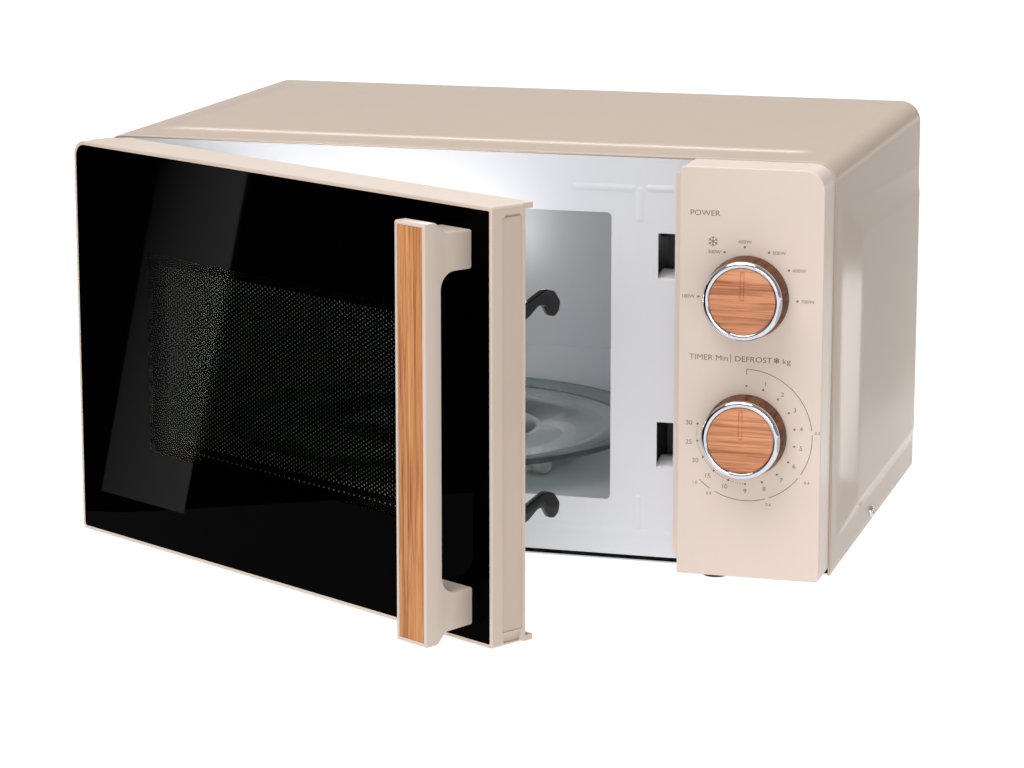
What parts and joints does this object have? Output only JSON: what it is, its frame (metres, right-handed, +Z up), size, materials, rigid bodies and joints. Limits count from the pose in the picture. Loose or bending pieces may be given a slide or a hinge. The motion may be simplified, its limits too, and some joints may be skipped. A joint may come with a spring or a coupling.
{
  "type": "microwave oven",
  "caption": "Countertop microwave oven with a side-hinged glass door, bar handle, two rotary dials and a glass turntable.",
  "frame": {"origin": "centre of the outline's footprint with the door ajar, at the level of the feet's soles", "axes": "+X to the right seen from the front, +Y from the front to the back, +Z up"},
  "size_m": [0.4644, 0.5281, 0.256],
  "materials": {
    "cover_paint": "satin",
    "plate_paint": "gloss",
    "cavity_paint": "satin",
    "bare_steel": "satin",
    "panel_plastic": "gloss",
    "door_plastic": "gloss",
    "black_glass": "gloss",
    "screen_steel": "satin",
    "dark_plastic": "satin",
    "clear_film": "gloss",
    "handle_plastic": "gloss",
    "light_wood": "satin",
    "ring_chrome": "polished",
    "fastener_steel": "polished",
    "hook_plastic": "gloss",
    "housing_plastic": "matte",
    "switch_plastic": "matte",
    "button_plastic": "matte",
    "foot_rubber": "matte",
    "coupler_plastic": "satin",
    "ring_plastic": "satin",
    "tray_glass": "gloss",
    "copper_wire": "satin",
    "laminations": "matte",
    "can_aluminium": "satin",
    "board_green": "satin",
    "mica": "matte",
    "lamp_glass": "gloss",
    "bell_steel": "satin"
  },
  "bodies": {
    "cabinet": {"outer_cover": "cover_paint", "rear_panel": "bare_steel", "base_plate": "bare_steel", "feet": "foot_rubber", "front_plate": "plate_paint", "cavity_wrap": "cavity_paint", "cavity_floor": "cavity_paint", "cavity_back": "cavity_paint", "control_panel": "panel_plastic", "power_selector": "housing_plastic", "timer_unit": "bare_steel", "timer_bell": "bell_steel", "upper_hinge": "bare_steel", "lower_hinge": "bare_steel", "latch_housing": "housing_plastic", "upper_door_switch": "switch_plastic", "lower_door_switch": "switch_plastic", "turntable_motor": "bare_steel", "magnetron": "can_aluminium", "waveguide": "bare_steel", "waveguide_cover": "mica", "transformer_core": "laminations", "transformer_windings": "copper_wire", "capacitor": "can_aluminium", "diode": "dark_plastic", "filter_board": "board_green", "fan_motor": "laminations", "fan_shroud": "dark_plastic", "oven_lamp": "lamp_glass", "thermal_cutout": "dark_plastic", "cord_gland": "dark_plastic", "cover_screws": "fastener_steel"},
    "door": {"door_frame": "door_plastic", "door_glass": "black_glass", "door_screen": "screen_steel", "choke_cover": "dark_plastic", "inner_window": "clear_film", "handle_body": "handle_plastic", "handle_inlay": "light_wood", "handle_screws": "fastener_steel", "latch_spring": "fastener_steel"},
    "latch": {"latch_hooks": "hook_plastic"},
    "power_knob": {"power_knob_body": "light_wood", "power_knob_ring": "ring_chrome", "power_knob_cap": "light_wood", "power_shaft": "coupler_plastic"},
    "timer_knob": {"timer_knob_body": "light_wood", "timer_knob_ring": "ring_chrome", "timer_knob_cap": "light_wood", "timer_shaft": "coupler_plastic"},
    "turntable": {"turntable_coupler": "coupler_plastic"},
    "tray": {"glass_tray": "tray_glass"},
    "ring": {"roller_ring": "ring_plastic"},
    "wheel_1": {"roller_wheel_1": "ring_plastic"},
    "wheel_2": {"roller_wheel_2": "ring_plastic"},
    "wheel_3": {"roller_wheel_3": "ring_plastic"},
    "fan": {"fan_blade": "dark_plastic"},
    "upper_button": {"upper_switch_button": "button_plastic"},
    "lower_button": {"lower_switch_button": "button_plastic"}
  },
  "joints": [
    {"name": "door_hinge", "type": "hinge", "parent": "cabinet", "child": "door", "pos_m": [-0.218, -0.04573, 0.134], "axis": [0, 0, -1], "range_deg": [-30.2, 64.8]},
    {"name": "latch_slide", "type": "slide", "parent": "door", "child": "latch", "axis": [0, 0, 1], "range_m": [-0.0025, 0.003], "stiffness_N_per_m": 300, "springref_m": -0.0025, "deforming": ["latch_spring"]},
    {"name": "power_knob_turn", "type": "hinge", "parent": "cabinet", "child": "power_knob", "pos_m": [0.1813, -0.0654, 0.1803], "axis": [0, 1, 0], "range_deg": [-92, 92]},
    {"name": "timer_knob_turn", "type": "hinge", "parent": "cabinet", "child": "timer_knob", "pos_m": [0.1813, -0.0654, 0.0996], "axis": [0, 1, 0], "range_deg": [0, 280]},
    {"name": "turntable_turn", "type": "hinge", "parent": "cabinet", "child": "turntable", "pos_m": [-0.056, 0.1066, 0.044], "axis": [0, 0, 1], "continuous": true},
    {"name": "tray_lift", "type": "slide", "parent": "turntable", "child": "tray", "axis": [0, 0, 1], "range_m": [0, 0.04]},
    {"name": "roller_ring_turn", "type": "hinge", "parent": "cabinet", "child": "ring", "pos_m": [-0.056, 0.1066, 0.0447], "axis": [0, 0, 1], "continuous": true},
    {"name": "wheel_1_spin", "type": "hinge", "parent": "ring", "child": "wheel_1", "pos_m": [-0.056, 0.2006, 0.0447], "axis": [0, 1, 0], "continuous": true},
    {"name": "wheel_2_spin", "type": "hinge", "parent": "ring", "child": "wheel_2", "pos_m": [-0.13741, 0.0596, 0.0447], "axis": [-0.866, -0.5, 0], "continuous": true},
    {"name": "wheel_3_spin", "type": "hinge", "parent": "ring", "child": "wheel_3", "pos_m": [0.02541, 0.0596, 0.0447], "axis": [0.866, -0.5, 0], "continuous": true},
    {"name": "fan_spin", "type": "hinge", "parent": "cabinet", "child": "fan", "pos_m": [0.17, 0.2356, 0.172], "axis": [0, 1, 0], "continuous": true},
    {"name": "upper_button_push", "type": "slide", "parent": "cabinet", "child": "upper_button", "axis": [0, 1, 0], "range_m": [0, 0.0012], "stiffness_N_per_m": 400},
    {"name": "lower_button_push", "type": "slide", "parent": "cabinet", "child": "lower_button", "axis": [0, 1, 0], "range_m": [0, 0.0012], "stiffness_N_per_m": 400}
  ],
  "couplings": [
    {"joint": "roller_ring_turn", "follows": "turntable_turn", "ratio": 0.5},
    {"joint": "wheel_1_spin", "follows": "turntable_turn", "ratio": -7.3438},
    {"joint": "wheel_2_spin", "follows": "turntable_turn", "ratio": -7.3438},
    {"joint": "wheel_3_spin", "follows": "turntable_turn", "ratio": -7.3438}
  ]
}
